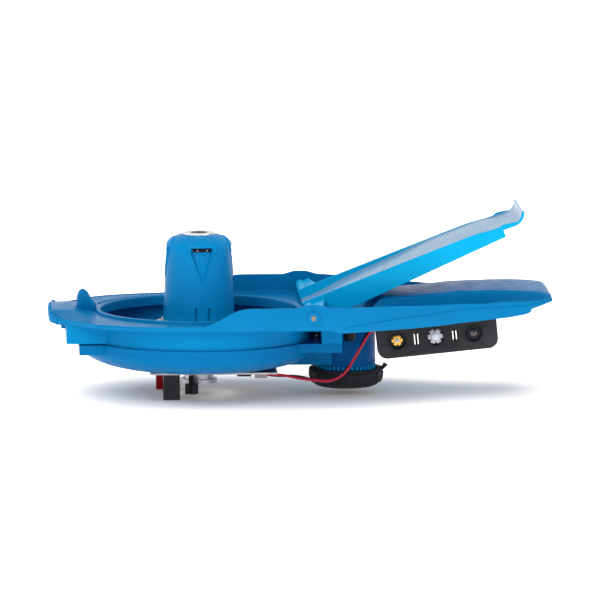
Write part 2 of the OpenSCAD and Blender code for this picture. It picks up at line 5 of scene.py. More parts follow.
import bmesh
import bpy
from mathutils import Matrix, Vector


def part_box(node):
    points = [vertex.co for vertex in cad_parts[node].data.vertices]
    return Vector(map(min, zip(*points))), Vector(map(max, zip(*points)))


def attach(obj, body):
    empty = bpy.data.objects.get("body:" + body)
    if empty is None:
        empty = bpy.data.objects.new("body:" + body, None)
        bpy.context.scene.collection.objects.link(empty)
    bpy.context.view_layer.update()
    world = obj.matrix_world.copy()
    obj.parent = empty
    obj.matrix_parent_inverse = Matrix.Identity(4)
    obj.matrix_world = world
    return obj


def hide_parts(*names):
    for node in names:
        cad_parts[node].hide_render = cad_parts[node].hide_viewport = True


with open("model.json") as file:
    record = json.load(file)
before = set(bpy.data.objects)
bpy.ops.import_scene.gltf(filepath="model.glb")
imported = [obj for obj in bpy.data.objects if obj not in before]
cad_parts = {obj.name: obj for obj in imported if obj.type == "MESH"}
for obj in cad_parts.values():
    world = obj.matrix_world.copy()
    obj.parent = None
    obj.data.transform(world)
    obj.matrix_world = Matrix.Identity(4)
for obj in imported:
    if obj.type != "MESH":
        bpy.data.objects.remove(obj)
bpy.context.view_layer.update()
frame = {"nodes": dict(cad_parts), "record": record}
NODES = frame["nodes"]
MM = 0.001


def middle(node):
    """Centre of a CAD node's box."""
    low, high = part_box(node)
    return (low + high) / 2


TUB_DEPTH = 67.5                                       # mm from the basin's rim to the tub's foot
AXIS = Vector((middle("tower_ring").x, 0, 0))          # the tower's axis
RIM_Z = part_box("lower_tub")[0].z + TUB_DEPTH * MM      # height of the basin's rim


def at(x, y, z):
    """A point given in millimetres from the tower axis and the rim, in the row frame."""
    return Vector((AXIS.x + x * MM, y * MM, RIM_Z + z * MM))


# ---------------------------------------------------------------- camera, floor and light
def camera():
    """A long lens in front of the light bar's side, a little above the deck."""
    lens, view_width, sensor = 420, 0.736, 36
    distance = view_width * lens / sensor
    turn, rise = math.radians(-3), math.radians(7.8)
    target = at(124, 0, 11.5)
    back = Vector((math.sin(turn) * math.cos(rise), -math.cos(turn) * math.cos(rise), math.sin(rise)))
    data = bpy.data.cameras.new("camera")
    data.lens, data.sensor_width, data.clip_end = lens, sensor, 200
    cam = bpy.data.objects.new("camera", data)
    bpy.context.scene.collection.objects.link(cam)
    cam.location = target + back * distance
    cam.rotation_euler = (-back).to_track_quat("-Z", "Y").to_euler()
    bpy.context.scene.camera = cam


def area_light(name, place, aim, size, power):
    """A rectangular white light at a place, turned to an aim point."""
    data = bpy.data.lights.new(name, "AREA")
    data.shape, data.size, data.size_y = "RECTANGLE", size[0], size[1]
    data.energy = power
    lamp = bpy.data.objects.new(name, data)
    bpy.context.scene.collection.objects.link(lamp)
    lamp.location = place
    lamp.rotation_euler = (Vector(aim) - Vector(place)).to_track_quat("-Z", "Y").to_euler()


def sun(name, heading, strength, angle):
    """A soft distant light that shines along the heading."""
    data = bpy.data.lights.new(name, "SUN")
    data.energy, data.angle = strength, math.radians(angle)
    lamp = bpy.data.objects.new(name, data)
    bpy.context.scene.collection.objects.link(lamp)
    lamp.rotation_euler = Vector(heading).to_track_quat("-Z", "Y").to_euler()
    return lamp


def studio():
    """White backdrop behind, dim room behind the camera, an even light from above and soft boxes."""
    world = bpy.data.worlds.new("studio")
    bpy.context.scene.world = world
    world.use_nodes = True
    nodes, links = world.node_tree.nodes, world.node_tree.links
    sky = nodes["Background"]
    sky.inputs["Color"].default_value = (1, 1, 1, 1)
    way = nodes.new("ShaderNodeTexCoord")
    parts = nodes.new("ShaderNodeSeparateXYZ")
    links.new(way.outputs["Generated"], parts.inputs["Vector"])
    fade = nodes.new("ShaderNodeMapRange")
    fade.interpolation_type = "SMOOTHSTEP"
    fade.inputs["From Min"].default_value, fade.inputs["From Max"].default_value = -0.35, 0.35
    fade.inputs["To Min"].default_value, fade.inputs["To Max"].default_value = 0.16, 1.05
    links.new(parts.outputs["Y"], fade.inputs["Value"])
    links.new(fade.outputs["Result"], sky.inputs["Strength"])
    bpy.context.scene.view_settings.view_transform = "Standard"
    area_light("key_light", (-0.9, -1.9, 1.3), (0, 0, 0.1), (1.3, 1.0), 22.5)
    area_light("fill_light", (1.5, -1.9, 0.8), (0, 0, 0.1), (1.2, 0.9), 9.5)
    sun("top_light", (0.05, 0.35, -1), 0.75, 70)
    floor_sun = sun("floor_light", (0.3, 0.12, -1), 3.2, 80)
    lit = bpy.data.collections.new("lit_by_floor_light")
    floor_sun.light_linking.receiver_collection = lit
    return lit


def floor(lit):
    """A wide pale floor just under the feet, which alone takes the floor light."""
    mesh = bpy.data.meshes.new("floor")
    reach = 60
    mesh.from_pydata([(-reach, -reach, 0), (reach, -reach, 0), (reach, reach, 0), (-reach, reach, 0)],
                     [], [(0, 1, 2, 3)])
    plane = bpy.data.objects.new("floor", mesh)
    bpy.context.scene.collection.objects.link(plane)
    plane.location.z = -0.0005
    mat = bpy.data.materials.new("pale_floor")
    mat.use_nodes = True
    shader = mat.node_tree.nodes["Principled BSDF"]
    shader.inputs["Base Color"].default_value = (0.95, 0.90, 0.85, 1)
    shader.inputs["Roughness"].default_value = 1.0
    shader.inputs["Specular IOR Level"].default_value = 0.0
    shader.inputs["Emission Color"].default_value = (1, 1, 1, 1)
    shader.inputs["Emission Strength"].default_value = 0.1
    mesh.materials.append(mat)
    lit.objects.link(plane)


camera()
floor(studio())


# ---------------------------------------------------------------- materials
def material(name, colour, rough=0.33, metal=0.0, vary=0.06, bump=0.05, grain=400.0, wear=None, coat=0.0,
             spec=0.08, stretch=(1, 1, 1), rough_vary=0.08):
    """A procedural surface: fine grain bump, slow colour variation and uneven roughness, all in
    object space; wear lightens convex edges."""
    mat = bpy.data.materials.new(name)
    mat.use_nodes = True
    tree = mat.node_tree
    nodes, links = tree.nodes, tree.links
    shader = nodes["Principled BSDF"]
    shader.inputs["Metallic"].default_value = metal
    shader.inputs["Specular IOR Level"].default_value = spec
    shader.inputs["Coat Weight"].default_value = coat
    shader.inputs["Coat Roughness"].default_value = 0.12

    place = nodes.new("ShaderNodeTexCoord")
    scale = nodes.new("ShaderNodeMapping")
    scale.inputs["Scale"].default_value = stretch
    links.new(place.outputs["Object"], scale.inputs["Vector"])

    def noise(size, detail=3.0):
        node = nodes.new("ShaderNodeTexNoise")
        node.inputs["Scale"].default_value = size
        node.inputs["Detail"].default_value = detail
        links.new(scale.outputs["Vector"], node.inputs["Vector"])
        return node.outputs["Fac"]

    def ramp(source, low, high, start=0.3, end=0.7):
        node = nodes.new("ShaderNodeMapRange")
        node.inputs["From Min"].default_value, node.inputs["From Max"].default_value = start, end
        node.inputs["To Min"].default_value, node.inputs["To Max"].default_value = low, high
        links.new(source, node.inputs["Value"])
        return node.outputs["Result"]

    slow = noise(9.0, 4.0)
    tint = nodes.new("ShaderNodeMix")
    tint.data_type = "RGBA"
    dark = [c * (1 - vary) for c in colour]
    light = [min(1, c * (1 + vary) + vary * 0.02) for c in colour]
    tint.inputs["A"].default_value = (*dark, 1)
    tint.inputs["B"].default_value = (*light, 1)
    links.new(ramp(slow, 0, 1), tint.inputs["Factor"])
    out = tint.outputs["Result"]
    if wear is not None:
        geometry = nodes.new("ShaderNodeNewGeometry")
        edge = ramp(geometry.outputs["Pointiness"], 0, 0.6, 0.52, 0.62)
        worn = nodes.new("ShaderNodeMix")
        worn.data_type = "RGBA"
        worn.inputs["B"].default_value = (*wear, 1)
        links.new(edge, worn.inputs["Factor"])
        links.new(out, worn.inputs["A"])
        out = worn.outputs["Result"]
    links.new(out, shader.inputs["Base Color"])
    links.new(ramp(noise(60.0), rough - rough_vary, rough + rough_vary), shader.inputs["Roughness"])
    lumps = nodes.new("ShaderNodeBump")
    lumps.inputs["Strength"].default_value = bump
    lumps.inputs["Distance"].default_value = 0.0004
    links.new(noise(grain, 2.0), lumps.inputs["Height"])
    links.new(lumps.outputs["Normal"], shader.inputs["Normal"])
    return mat


FINISH = {
    "deck_blue": material("deck_blue", (0.0, 0.175, 0.42), spec=0.05, bump=0.015),
    "tub_blue": material("tub_blue", (0.0, 0.145, 0.37), spec=0.03, bump=0.02),
    # painted light: a lighter copy of tub_blue for the upper tub, which is the same plastic as the lower
    # tub
    "tub_blue_painted_lit": material("tub_blue_painted_lit", (0.0, 0.21, 0.49), spec=0.03, bump=0.02),
    "tower_blue": material("tower_blue", (0.0, 0.225, 0.53), spec=0.06, bump=0.02),
    "lid_blue": material("lid_blue", (0.0, 0.37, 0.70), spec=0.05, bump=0.02),
    # lid's upper face: a real higher gloss, and a paler, greyer blue than lid_blue as painted reflection of
    # the white backdrop
    "lid_floor": material("lid_floor", (0.15, 0.33, 0.52), 0.3, bump=0.005, spec=0.4, rough_vary=0.04),
    "dark_lens": material("dark_lens", (0.01, 0.01, 0.012), 0.06, spec=0.6, coat=0.6),
    "neck_blue": material("neck_blue", (0.0, 0.09, 0.29), spec=0.04),
    "steel": material("stainless_steel", (0.56, 0.56, 0.58), 0.28, 1.0, grain=900, bump=0.1),
    "dull_steel": material("dull_steel", (0.26, 0.23, 0.22), 0.4, 1.0, grain=900, bump=0.1),
    "satin_ring": material("satin_metal", (0.62, 0.61, 0.64), 0.3, 1.0, grain=700, bump=0.06),
    "galvanised": material("galvanised_sheet", (0.42, 0.42, 0.46), 0.42, 1.0, vary=0.22, grain=140,
                           bump=0.16),
    "cast_metal": material("cast_metal", (0.55, 0.56, 0.62), 0.38, 1.0, grain=500, bump=0.3),
    "black_plastic": material("black_plastic", (0.016, 0.017, 0.02), 0.42, vary=0.2, bump=0.12,
                              grain=600, wear=(0.05, 0.05, 0.055)),
    "black_rubber": material("black_rubber", (0.02, 0.02, 0.022), 0.7, vary=0.2, bump=0.2),
    "red_plastic": material("red_plastic", (0.42, 0.008, 0.012)),
    "magnet": material("ferrite", (0.03, 0.03, 0.035), 0.6, bump=0.4),
    "copper": material("enamelled_copper", (0.6, 0.2, 0.06), 0.3, 0.9, grain=300, bump=0.5,
                       stretch=(1, 1, 8)),
    "cell_wrap": material("cell_wrap", (0.02, 0.15, 0.05)),
    "gold_board": material("gilt_board", (0.72, 0.42, 0.09), 0.32, 0.85, grain=900, bump=0.15),
    "silver_board": material("plated_board", (0.42, 0.40, 0.46), 0.34, 0.8, grain=900, bump=0.15),
    "dark_board": material("dark_board", (0.02, 0.02, 0.025), 0.3, vary=0.2),
    "led_lens": material("led_lens", (0.62, 0.70, 0.80), 0.15, vary=0.04, coat=0.6),
    "strip_metal": material("bright_strip", (0.8, 0.8, 0.84), 0.22, 0.9, grain=800, bump=0.08),
    "red_wire": material("red_insulation", (0.5, 0.012, 0.035), 0.3, coat=0.4, vary=0.08),
    "black_wire": material("black_insulation", (0.012, 0.012, 0.014), 0.32, coat=0.3, vary=0.2),
}


NODE_SLOTS = {row["node"]: row["material_slot"] for row in frame["record"]["subparts"]}


# ---------------------------------------------------------------- shape helpers
def curve(table):
    """A smooth function through a table of pairs that never overshoots them."""
    xs = [p[0] for p in table]
    ys = [p[1] for p in table]
    slope = [(ys[i + 1] - ys[i]) / (xs[i + 1] - xs[i]) for i in range(len(xs) - 1)]
    bend = [0.0] * len(xs)
    for i in range(1, len(xs) - 1):
        if slope[i - 1] * slope[i] > 0:
            bend[i] = 2 * slope[i - 1] * slope[i] / (slope[i - 1] + slope[i])
    bend[0], bend[-1] = slope[0], slope[-1]

    def value(x):
        if x <= xs[0]:
            return ys[0]
        if x >= xs[-1]:
            return ys[-1]
        i = next(k for k in range(len(xs) - 1) if x <= xs[k + 1])
        width = xs[i + 1] - xs[i]
        t = (x - xs[i]) / width
        return ((2 * t ** 3 - 3 * t ** 2 + 1) * ys[i] + (t ** 3 - 2 * t ** 2 + t) * width * bend[i]
                + (3 * t ** 2 - 2 * t ** 3) * ys[i + 1] + (t ** 3 - t ** 2) * width * bend[i + 1])
    return value


def step(low, high, x):
    """0 below low and 1 above high, smooth between."""
    t = min(1, max(0, (x - low) / (high - low)))
    return t * t * (3 - 2 * t)


def rounded(corners, pieces=4):
    """A closed outline with its corners rounded. A corner is (x, y, radius); each gives the same
    number of points whatever its radius, so that outlines can be skinned together."""
    out = []
    n = len(corners)
    for i, (x, y, radius) in enumerate(corners):
        here = Vector((x, y))
        before = Vector(corners[i - 1][:2]) - here
        after = Vector(corners[(i + 1) % n][:2]) - here
        reach = min(radius, before.length * 0.48, after.length * 0.48)
        a, b = here + before.normalized() * reach, here + after.normalized() * reach
        for k in range(pieces + 1):
            t = k / pieces
            out.append(a * (1 - t) ** 2 + here * (2 * t * (1 - t)) + b * t * t)
    return out


def mesh_object(name, points, faces):
    """A new mesh object in the scene, with its faces turned outward."""
    mesh = bpy.data.meshes.new(name)
    mesh.from_pydata([tuple(p) for p in points], [], faces)
    work = bmesh.new()
    work.from_mesh(mesh)
    bmesh.ops.recalc_face_normals(work, faces=work.faces)
    work.to_mesh(mesh)
    work.free()
    obj = bpy.data.objects.new(name, mesh)
    bpy.context.scene.collection.objects.link(obj)
    return obj


def piece(name, points, faces, slot, body, stands_for=(), sharp=35, extra=None):
    """A new mesh in row-frame metres, shaded smooth up to the sharp angle, that rides on a body and
    stands for CAD nodes. extra = (slot, set of face numbers) gives some faces a second finish."""
    obj = mesh_object(name, points, faces)
    mesh = obj.data
    mesh.materials.append(FINISH[slot])
    if extra:
        mesh.materials.append(FINISH[extra[0]])
        for k in extra[1]:
            mesh.polygons[k].material_index = 1
    mesh.shade_smooth()
    mesh.set_sharp_from_angle(angle=math.radians(sharp))
    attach(obj, body)
    if stands_for:
        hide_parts(*stands_for)
    return obj


def skin(rings, closed=False):
    """Points and faces of a row of closed rings with the same number of points each; the ends are
    capped unless the row closes on itself."""
    n, rows = len(rings[0]), len(rings)
    points = [p for ring in rings for p in ring]
    faces = []
    for i in range(rows if closed else rows - 1):
        k = (i + 1) % rows
        for j in range(n):
            faces.append((i * n + j, i * n + (j + 1) % n, k * n + (j + 1) % n, k * n + j))
    if not closed:
        faces.append(tuple(range(n - 1, -1, -1)))
        faces.append(tuple((rows - 1) * n + j for j in range(n)))
    return points, faces


def together(parts):
    """The points and faces of several closed shapes as those of one mesh."""
    points, faces = [], []
    for part_points, part_faces in parts:
        first = len(points)
        points.extend(part_points)
        faces.extend(tuple(i + first for i in face) for face in part_faces)
    return points, faces


def turned(name, profile, slot, body, stands_for=(), centre=(0, 0), steps=128, bulge=None, sharp=35,
           extra=None):
    """A closed profile of (radius, height) turned about a vertical axis; bulge(angle, index) adds to
    the radius."""
    rings = []
    for k in range(steps):
        turn = 2 * math.pi * k / steps
        ring = []
        for i, (r, z) in enumerate(profile):
            reach = r + (bulge(turn, i) if bulge else 0)
            ring.append(at(centre[0] + reach * math.cos(turn), centre[1] + reach * math.sin(turn), z))
        rings.append(ring)
    points, faces = skin(rings, closed=True)
    return piece(name, points, faces, slot, body, stands_for, sharp, extra)


def soften(obj, bevel):
    """Rounds an object's sharp edges by a bevel in mm."""
    edge = obj.modifiers.new("edge", "BEVEL")
    edge.width, edge.segments, edge.limit_method = bevel * MM, 2, "ANGLE"
    edge.angle_limit = math.radians(32)
    edge.harden_normals = False
    edge.use_clamp_overlap = True


def dress_nodes():
    """Gives every CAD node the finish of its material slot."""
    for name, node in NODES.items():
        node.data.materials.clear()
        node.data.materials.append(FINISH[NODE_SLOTS[name]])


dress_nodes()
# the upper tub takes the lighter, painted-light copy of tub_blue
for name, finish in (("pivot_screws", "dull_steel"), ("wire_connector", "dull_steel"),
                     ("upper_tub", "tub_blue_painted_lit")):
    NODES[name].data.materials[0] = FINISH[finish]
for name in ("lower_tub", "upper_tub", "battery_cap", "light_bar", "nose_hook"):
    soften(NODES[name], 0.5)

# ---------------------------------------------------------------- deck
# Each curve gives one measure of the deck's section along X, in mm.
DECK_HALF = curve([(-186, 20), (-181, 50), (-177, 64), (-170, 76), (-151, 98), (-128, 127), (-104, 141),
                   (-80, 150), (-51, 156), (-20, 159.5), (0, 160), (150, 160), (185, 150), (230, 129),
                   (277, 109), (300, 97), (319, 88), (337, 87), (355, 90), (374, 95), (390, 96),
                   (408, 89), (428, 74)])
WALL_TOP = curve([(-186, 0.5), (-40, 1), (0, 1.5), (6, 3), (48, 22), (60, 23), (110, 23), (118, 25),
                  (126, 27), (138, 27), (146, 25), (154, 23), (190, 22), (277, 18.5), (337, 17),
                  (374, 20.5), (396, 20.5), (428, 21)])
WALL_FOOT = curve([(-186, -4.5), (230, -5), (257, -8), (300, -7), (394, 4.8), (400, 7.4), (403, 13.5),
                   (408, 18), (428, 19.6)])
FLOOR_Z = curve([(-186, -2.6), (-150, -1.5), (-120, 0), (150, 0), (165, -5), (250, -5), (300, -2),
                 (360, 6), (400, 14), (428, 21.2)])
CENTRE_Z = curve([(-186, 5.5), (-182, 7), (-155, 7.5), (-148, 5.5), (-140, 1.6), (-128, 0.5),
                  (-110, 0.2), (150, 0.2), (165, -4.8), (203, -4.8), (212, 12), (222, 20.5), (247, 22),
                  (283, 25), (314, 28), (370, 29.3), (385, 29.2), (418, 27), (426, 25), (428, 23.8)])
CENTRE_HALF = curve([(-186, 38), (-130, 43), (-110, 44), (150, 44), (200, 52), (428, 58)])
CENTRE_FOOT = curve([(-186, 54), (-170, 66), (-130, 80), (-110, 60), (150, 60), (200, 54), (340, 55),
                     (400, 64), (428, 68)])
CREASE = curve([(165, -3.5), (173, -1.8), (345, 12.3), (400, 16), (428, 20.4)])


def deck_outline(x):
    """The deck's section at x as rounded corners, right half then left."""
    w, top, foot = DECK_HALF(x), WALL_TOP(x), WALL_FOOT(x)
    floor_z, centre = FLOOR_Z(x), CENTRE_Z(x)
    spread = min(CENTRE_FOOT(x), w - 6)
    half = min(CENTRE_HALF(x), spread - 1.5)
    top = max(top, floor_z + 0.8)
    foot = min(foot, floor_z - 3.4)
    ledge = 1.5 * step(164, 182, x)
    crease = min(CREASE(x), top - 1.6)
    crease = max(crease, foot + 1.6)
    soft = 2.2 + 1.6 * step(196, 215, x)
    right = [(half - 0.6, centre - 0.4, soft), (spread, floor_z, 4), (w - 4, floor_z, 2.6),
             (w - 3.2, top, 1.2), (w - ledge * 0.9 - 0.05, top, 1.7), (w - ledge, crease + 0.7, 0.4),
             (w, crease - 0.5, 0.7), (w, foot, 1.4), (w - 3.4, foot, 0.6),
             (w - 4.2, floor_z - 3, 1), (spread - 0.5, floor_z - 3, 2), (half - 3, centre - 3.4, 2)]
    left = [(-y, z, radius) for y, z, radius in reversed(right)]
    return [(0, centre + 0.7, 20)] + right + [(0, centre - 2.8, 10)] + left


def deck():
    """The deck lofted from nose to tail, before the basin is cut out."""
    marks = [-181, -180.4, -179.2, -177.5, -175, -172]
    marks += [x for x in range(-168, 0, 4)] + [x for x in range(0, 112, 6)]
    marks += [110 + 1.5 * k for k in range(62)] + [x for x in range(206, 228, 2)]
    marks += [x for x in range(228, 396, 6)] + [397 + 1.5 * k for k in range(20)] + [427, 428]
    rings = [[at(x, p.x, p.y) for p in rounded(deck_outline(x), 4)] for x in sorted(set(marks))]
    points, faces = skin(rings)
    return piece("deck_moulding", points, faces, "deck_blue", "chassis")


def cut(obj, cutters):
    """Takes the cutters out of a piece and removes them."""
    for cutter in cutters:
        hole = obj.modifiers.new("hole", "BOOLEAN")
        hole.operation, hole.solver, hole.object = "DIFFERENCE", "EXACT", cutter
    bpy.context.view_layer.update()
    done = bpy.data.meshes.new_from_object(obj.evaluated_get(bpy.context.evaluated_depsgraph_get()))
    obj.modifiers.clear()
    old = obj.data
    obj.data = done
    bpy.data.meshes.remove(old)
    for cutter in cutters:
        shape = cutter.data
        bpy.data.objects.remove(cutter)
        bpy.data.meshes.remove(shape)


def plug(radius, low, high, steps=160):
    """A cylinder on the tower's axis to cut with."""
    rings = [[at(radius * math.cos(2 * math.pi * k / steps), radius * math.sin(2 * math.pi * k / steps), z)
              for k in range(steps)] for z in (low, high)]
    return mesh_object("plug", *skin(rings))


BASIN_CUT = 124.5                                # radius cut out of the deck for the basin, mm
DECK = deck()
cut(DECK, [plug(BASIN_CUT, -20, 40)])
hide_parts("deck_shell")
RIM = rounded([(120.8, -9, 0.6), (120.8, 3.4, 3.4), (127.9, 3.2, 3.6), (128.3, -1.4, 0.5), (124, -3, 0.5),
               (123.4, -9, 0.4)], 6)
turned("basin_lip", [(p.x, p.y) for p in RIM], "deck_blue", "chassis", ("basin_rim",), steps=256)


# ---------------------------------------------------------------- tower
SHELL = 2.4                                      # wall of the tower and of the lid, mm
SHELL_R = 41                                     # radius used to turn an angle into mm round the wall
SCOOP_TURN = math.radians(4)                     # the first scoop's angle from X
DOME_Z, DOME_RISE, DOME_FLAT = 74.5, 20.4, 16    # foot and rise of the dome, radius of its flat top
HOOD = curve([(74, 40.2), (80, 40.0), (84, 38.7), (87.5, 36.4), (92.5, 30)])


def tower_profile():
    """Samples of the tower's outer wall as (radius, height)."""
    rows = [(44.0, z) for z in (-31.8, -28, -24, -18)]
    rows += [(44.0, -17.4), (44.0, -17), (44.0, -16)] + [(44.0, -13 + 3 * k) for k in range(3)]
    for z in [-5, -2, 0, 2, 4, 5.5, 6.4, 6.9, 7.3, 8, 10, 14, 18, 22, 26, 29, 31]:
        rows.append((44 - 4 * step(-30, 92, z), z))
    for k in range(66):
        z = 32 + 0.65 * k
        rows.append((44 - 4 * step(-30, 92, z), z))
    last = rows[-1][0]
    for k in range(1, 40):
        turn = math.radians(83 * k / 39)
        rows.append((DOME_FLAT + (last - DOME_FLAT) * math.cos(turn), DOME_Z + DOME_RISE * math.sin(turn)))
    return rows


MOUTH_LOW, MOUTH_TOP, APEX = 74.4, 80.9, 40.5    # heights of a scoop's mouth and of its pocket's point
MOUTH_HALF = 13.9


def tower_relief(u, z, r):
    """How far the wall at radius r stands out at u millimetres round from a scoop's middle line."""
    side = abs(u)
    out = 0.0
    if z > 33:
        if 73 < z < 93:
            reach = 20.2 * math.sqrt(max(0.0, 1 - (max(0.0, z - 74) / 18.8) ** 3.2))
            hood = step(-0.3, 1.2, reach - side) * step(93, 91.6, z)
            out += hood * max(0.0, HOOD(z) + 0.7 - r)
        mouth = (step(14.4, 13.7, side) * step(MOUTH_LOW - 0.1, MOUTH_LOW + 0.6, z)
                 * step(MOUTH_TOP + 0.1, MOUTH_TOP - 0.6, z))
        out = out * (1 - mouth) - 8.0 * mouth
        reach = 14.2 * (z - APEX) / (MOUTH_LOW - APEX)
        if z < MOUTH_LOW:
            if reach > 0:
                inside = step(0.3, -0.9, side - reach)
                out -= inside * (1.2 + 6.6 * (z - APEX) / (MOUTH_LOW - APEX))
        if z < MOUTH_TOP:
            out += 0.8 * math.exp(-((side - reach - 1.0) / 0.8) ** 2) * step(APEX - 1, APEX + 2, z)
    elif -17.5 < z < 7.5:
        out -= 3.2 * step(1.45, 0.9, abs(side - 7.5)) * step(-17.4, -17, z) * step(7.3, 6.9, z)
    return out


def tower():
    """The tower's shell: the profile turned about the axis, with finer steps across each scoop; each
    scoop's recessed mouth face is black as painted shade for the dark opening into the tower.
    """
    profile = tower_profile()
    turns = []
    fine = 20.6 / SHELL_R
    count = 68
    for quarter in range(4):
        start = quarter * math.pi / 2 + SCOOP_TURN
        for k in range(-count, count + 1):
            turns.append((start + fine * k / count, k))
        for k in range(1, 24):
            turns.append((start + fine + (math.pi / 2 - 2 * fine) * k / 24, None))
    rings, dark = [], set()
    for turn, _ in turns:
        nearest = round((turn - SCOOP_TURN) / (math.pi / 2))
        away = turn - SCOOP_TURN - nearest * math.pi / 2
        outer, inner = [], []
        for r, z in profile:
            out = tower_relief(away * SHELL_R, z, r)
            outer.append((r + out, z))
            inner.append((r + out - SHELL, z - 2.2 * step(78, 90, z)))
        ring = outer + inner[::-1]
        rings.append([at(p[0] * math.cos(turn), p[0] * math.sin(turn), p[1]) for p in ring])
    points, faces = skin(rings, closed=True)
    n = len(rings[0])
    rows = len(profile)
    for number in range(len(faces)):
        i, j = divmod(number, n)
        across = turns[i][1]
        if j < rows - 1 and across is not None:
            u = abs(across) * fine / count * SHELL_R
            z = (profile[j][1] + profile[j + 1][1]) / 2
            # faces of each scoop's recessed mouth: painted shade, black in place of the dark opening behind
            # them
            if u < MOUTH_HALF and MOUTH_LOW + 0.5 < z < MOUTH_TOP - 0.5:
                dark.add(number)
    return piece("tower_moulding", points, faces, "tower_blue", "chassis", ("tower_cover",), 40,
                 ("black_plastic", dark))


def scoop_lights():
    """Two small bright heads behind each scoop's mouth."""
    heads = []
    for quarter in range(4):
        for across in (-5.2, 6.4):
            turn = quarter * math.pi / 2 + SCOOP_TURN
            out, side = Vector((math.cos(turn), math.sin(turn))), Vector((-math.sin(turn), math.cos(turn)))
            rows = []
            for reach, r in ((31.0, 1.3), (33.6, 1.3), (34.2, 0.9), (34.4, 0.3)):
                p = out * reach + side * across
                rows.append([at(p.x + side.x * r * math.cos(a), p.y + side.y * r * math.cos(a),
                                77.6 + r * math.sin(a)) for a in (2 * math.pi * k / 12 for k in range(12))])
            heads.append(skin(rows))
    piece("scoop_heads", *together(heads), "steel", "chassis", ("scoop_mesh",), 40)


tower()
scoop_lights()


# ---------------------------------------------------------------- lid
LID_TILT = math.radians(21.3)
HINGE_X, HINGE_Z = 132, 11                       # the lid's pivot, mm from the tower axis and the rim
LID_HALF = 58.5                                  # half width of the lid at its pivot
LIP_START, LIP_R, LIP_TURN = 270, 16.5, 78
LIP_END = LIP_START + LIP_R * math.radians(LIP_TURN)
LID_FLOOR = curve([(-6, -5), (0, -5.4), (60, 0), (120, 3), (180, 6.4), (225, 6.2), (255, 3), (270, 2.5),
                   (310, 2)])
LID_RIM = curve([(-6, 7), (-2, 8), (180, 8.2), (215, 8), (252, 5), (256, 6.5), (266, 5.5), (280, 2.2),
                 (310, 2)])
LID_SKIRT = [(-6, -7.6), (10, -8.3), (48, -20.4), (254.6, -8.8), (255, 3), (310, 3)]
LID_CROWN = curve([(-6, 0.3), (120, 0.3), (180, 0.8), (225, 2.0), (255, 1), (270, 0.3)])
LID_W = curve([(-6, 0), (254, 0), (258, 2.5), (290, 2), (294, -1), (297, -12)])


def straight(table, x):
    """Straight lines through a table of pairs."""
    for (x0, y0), (x1, y1) in zip(table, table[1:]):
        if x <= x1:
            return y0 + (y1 - y0) * max(0, x - x0) / (x1 - x0)
    return table[-1][1]


def lid_at(s, y, z):
    """A point of the lid's own frame, with s along it from the pivot, in the row frame."""
    if s > LIP_START:
        turn = (s - LIP_START) / LIP_R - math.pi / 2
        s, z = LIP_START + (LIP_R - z) * math.cos(turn), LIP_R + (LIP_R - z) * math.sin(turn)
    return at(HINGE_X + s * math.cos(LID_TILT) - z * math.sin(LID_TILT), y,
              HINGE_Z + s * math.sin(LID_TILT) + z * math.cos(LID_TILT))


def lid():
    """The lid lofted from its pivot to the tip of its finger lip, its upper face glossier and in a paler,
    greyer blue that is painted reflection of the white backdrop.
    """
    marks = [-6, -5.7, -5, -4, -2, 0, 4, 8, 14] + list(range(20, 252, 6))
    marks += [252, 254, 254.6, 255, 256, 258, 261, 265] + [270 + 1.4 * k for k in range(18)]
    marks = sorted(m for m in marks if m < LIP_END - 0.4) + [LIP_END - 0.3, LIP_END]
    rings, pale = [], set()
    for s in marks:
        floor_z, crown, w = LID_FLOOR(s), LID_CROWN(s), LID_HALF + LID_W(s)
        rim = max(LID_RIM(s), floor_z + 0.4)
        skirt = min(straight(LID_SKIRT, s), floor_z - 2.9)
        thin = 0.8 * step(LIP_END - 1.6, LIP_END, s)
        right = [(w * 0.55, floor_z + crown * 0.7 - thin, 6), (w - 2.9, floor_z - thin, 1.4),
                 (w - 2.3, rim - thin, 0.9), (w, rim - thin, 1.3), (w, skirt + thin, 0.9),
                 (w - 2.4, skirt + thin, 0.6), (w - 2.6, floor_z - SHELL + thin, 1.2),
                 (w * 0.55, floor_z + crown * 0.7 - SHELL + thin, 6)]
        left = [(-y, z, radius) for y, z, radius in reversed(right)]
        corners = ([(0, floor_z + crown - thin, 8)] + right
                   + [(0, floor_z + crown - SHELL + thin, 8)] + left)
        rings.append([lid_at(s, p.x, p.y) for p in rounded(corners, 4)])
    points, faces = skin(rings)
    n = len(rings[0])
    # faces of the lid's upper face take the paler colour of painted reflection
    for number in range((len(marks) - 1) * n):
        j = number % n
        if j < 14 or j >= n - 10:
            pale.add(number)
    piece("lid_moulding", points, faces, "lid_blue", "lid", ("tail_lid",), 40, ("lid_floor", pale))


lid()
soften(NODES["lid_wings"], 1.0)


# ---------------------------------------------------------------- light bar
def bar_frame():
    """The first light's middle, and the directions along the bar's front face and up it."""
    gold, dark = middle("gold_led_board"), middle("dark_led_board")
    along = (dark - gold).normalized()
    up = along.cross(Vector((0, -1, 0)))
    if up.z < 0:
        up = -up
    return gold, along, up


BAR_O, BAR_X, BAR_UP = bar_frame()
BAR_FACE_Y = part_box("light_bar")[0].y
LIGHT_X = (0, 47, 94)                            # the three lights along the bar, mm


def on_bar(x, up, out):
    """A point x mm along the bar from the first light, up mm above it, out mm in front of the face."""
    p = BAR_O + BAR_X * (x * MM) + BAR_UP * (up * MM)
    return Vector((p.x, BAR_FACE_Y - out * MM, p.z))


